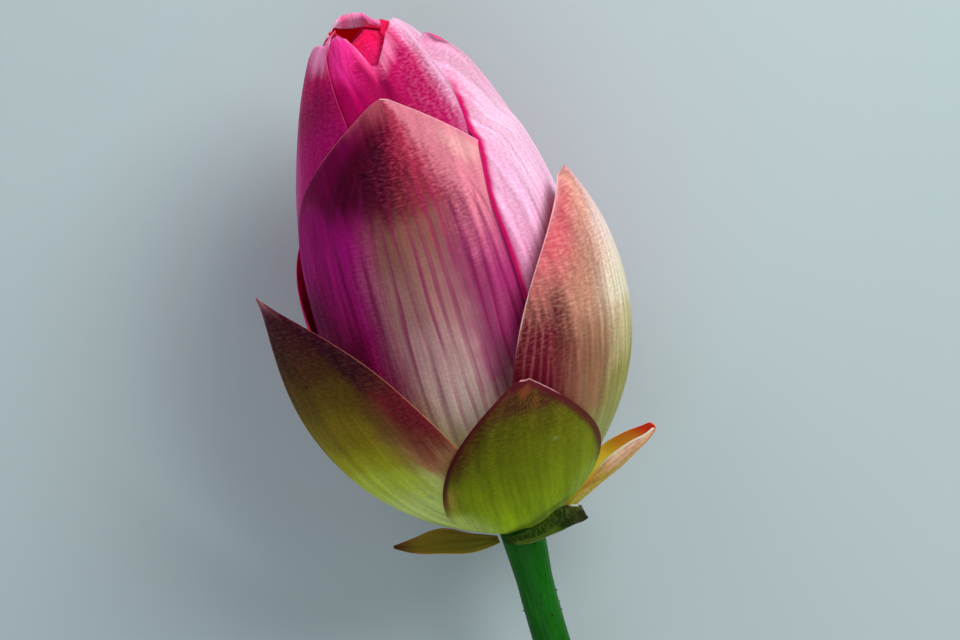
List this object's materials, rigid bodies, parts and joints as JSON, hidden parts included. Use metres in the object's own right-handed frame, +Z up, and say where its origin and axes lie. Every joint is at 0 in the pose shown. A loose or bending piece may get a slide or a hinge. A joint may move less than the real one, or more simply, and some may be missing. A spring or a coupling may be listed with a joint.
{
  "type": "lotus flower bud on a cut stem",
  "caption": "Closed lotus bud with overlapping petals around a seed pod and stamens, small sepals at its foot and a length of cut stem, lying on its back.",
  "frame": {"origin": "bottom centre of the bounding box: on the surface that the flower lies on", "axes": "+Z up from the surface; +Y along the flower from its cut stem to its tip, the longest extent; +X to the flower's right, seen from above with the tip pointing away"},
  "size_m": [0.0709, 0.2333, 0.0647],
  "materials": {
    "stem": "waxy green skin",
    "seed_pod": "matt yellow-green",
    "stamens": "matt yellow",
    "sepal_withered_olive": "dull olive, dark veins",
    "sepal_withered_dark": "dull dark green",
    "sepal_orange": "dull orange",
    "sepal_green": "satin olive green with a maroon edge",
    "sepal_maroon": "satin maroon to olive green",
    "petal_coral": "satin coral pink to cream green",
    "petal_magenta": "satin magenta with a cream middle",
    "petal_hot_pink": "satin hot pink",
    "petal_pink": "satin pink, veined",
    "petal_inner": "satin pale pink"
  },
  "bodies": {
    "root": {"stem": "stem", "seed_pod": "seed_pod", "stamens": "stamens", "sepal_withered_left": "sepal_withered_olive", "sepal_withered_right": "sepal_withered_dark", "sepal_curled": "sepal_orange", "sepal_front": "sepal_green", "sepal_left": "sepal_maroon", "petal_right_outer": "petal_coral", "petal_front": "petal_magenta", "petal_left_inner": "petal_magenta", "petal_side_left": "petal_hot_pink", "petal_front_inner": "petal_hot_pink", "petal_back_inner": "petal_hot_pink", "petal_right_inner": "petal_pink", "petal_right_back": "petal_pink", "petal_back": "petal_pink", "petal_back_left": "petal_pink", "petal_back_right": "petal_pink", "petal_inner_left": "petal_inner", "petal_inner_right": "petal_inner", "petal_inner_front": "petal_inner", "petal_inner_back": "petal_inner", "petal_core_left": "petal_inner", "petal_core_right": "petal_inner"}
  },
  "joints": []
}
